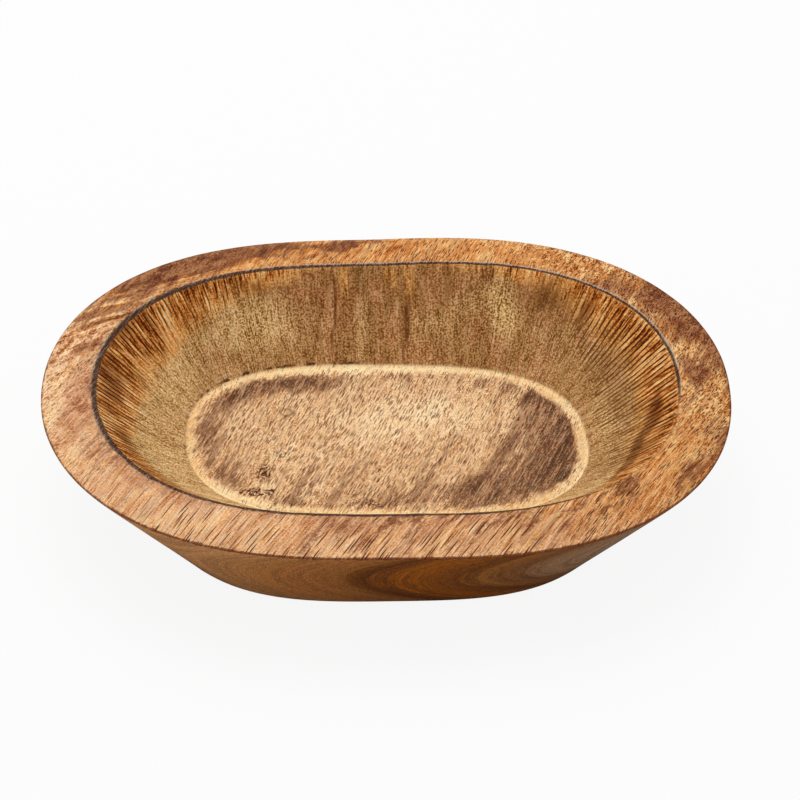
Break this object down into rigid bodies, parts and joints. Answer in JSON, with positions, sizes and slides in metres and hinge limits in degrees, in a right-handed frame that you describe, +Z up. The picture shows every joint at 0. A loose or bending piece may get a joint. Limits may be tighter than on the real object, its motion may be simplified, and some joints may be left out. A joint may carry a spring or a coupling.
{
  "type": "dough bowl",
  "caption": "Low oval dough bowl with a wide outward sloping rim, slanted inner and outer walls and a flat oval floor, carved from solid wood.",
  "frame": {"origin": "middle of the flat base, on the surface that the bowl stands on, under the middle of the rim", "axes": "+X along the bowl's length, +Y across its width, +Z up out of its open side"},
  "size_m": [0.2988, 0.213, 0.0551],
  "materials": {
    "wood": "oiled, rough carved inside, smooth outside"
  },
  "bodies": {
    "root": {"bowl": "wood"}
  },
  "joints": []
}
